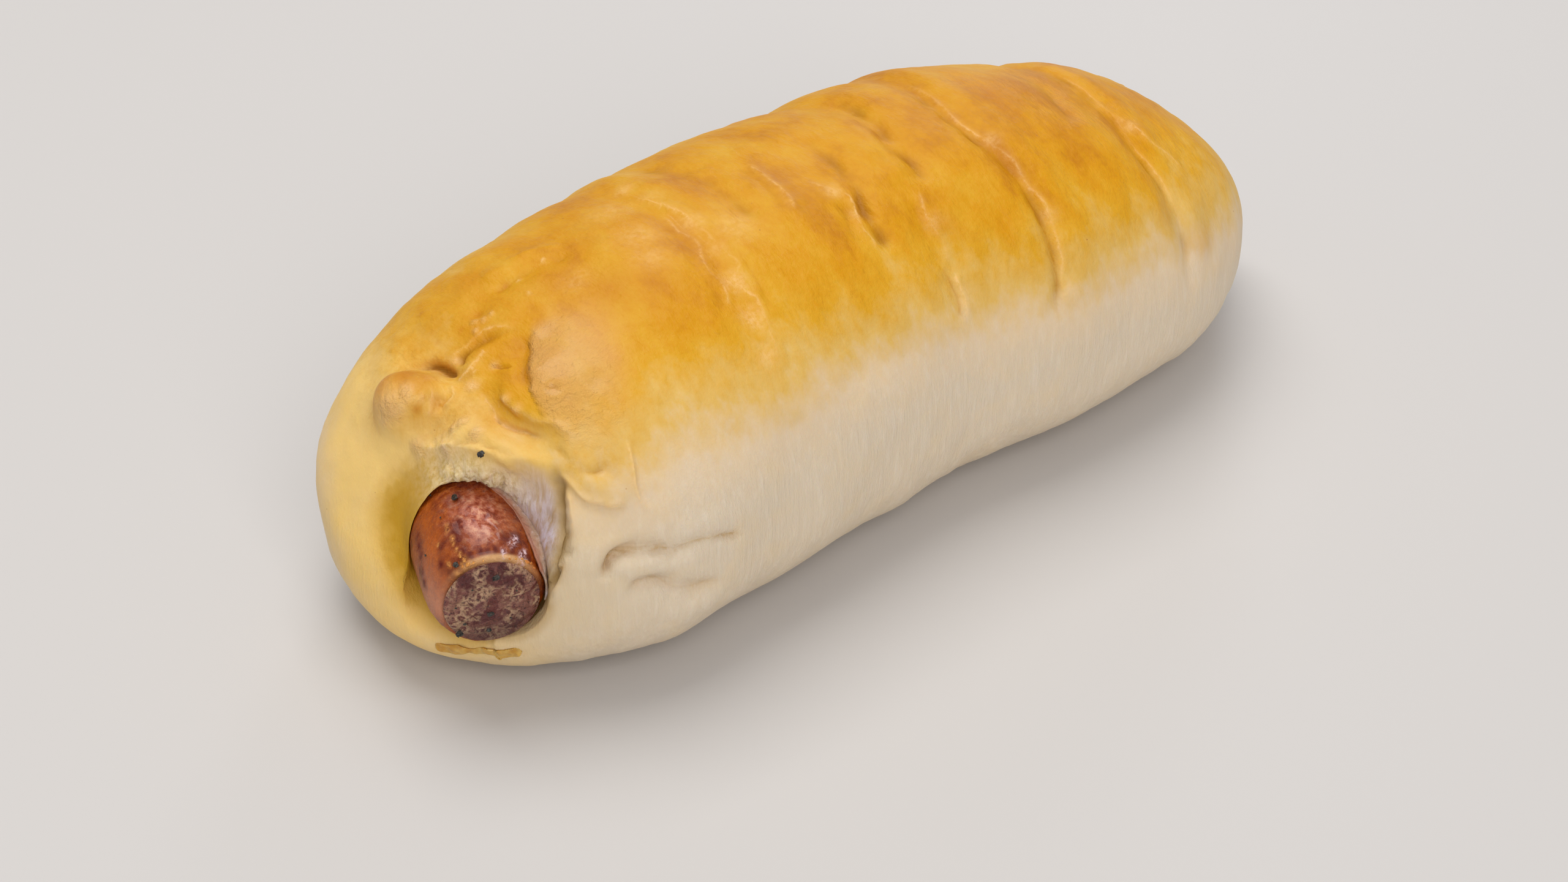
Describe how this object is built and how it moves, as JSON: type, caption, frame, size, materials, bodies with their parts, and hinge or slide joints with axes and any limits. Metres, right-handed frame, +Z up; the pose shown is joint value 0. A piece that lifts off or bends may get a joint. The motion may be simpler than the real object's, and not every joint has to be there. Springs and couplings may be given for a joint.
{
  "type": "sausage kolache",
  "caption": "Soft baked wheat bun wrapped round a smoked sausage link, golden and glossy on top and cream at the sides, with the link's cut end showing at a puckered mouth.",
  "frame": {"origin": "centre of the footprint on the surface that the bun rests on", "axes": "+X along the bun, from the end where the link shows towards the far end; +Y to the left seen from the near end; +Z up"},
  "size_m": [0.1655, 0.0678, 0.0516],
  "materials": {
    "crust": "satin egg-washed crust, golden on top and cream at the sides",
    "casing": "greasy wrinkled smoked casing",
    "meat": "coarse cut sausage meat with pale fat flecks",
    "pepper": "cracked black pepper",
    "fat": "amber cooked fat and crisp edge of dough"
  },
  "bodies": {
    "root": {"bun": "crust", "sausage": "casing"}
  },
  "joints": []
}
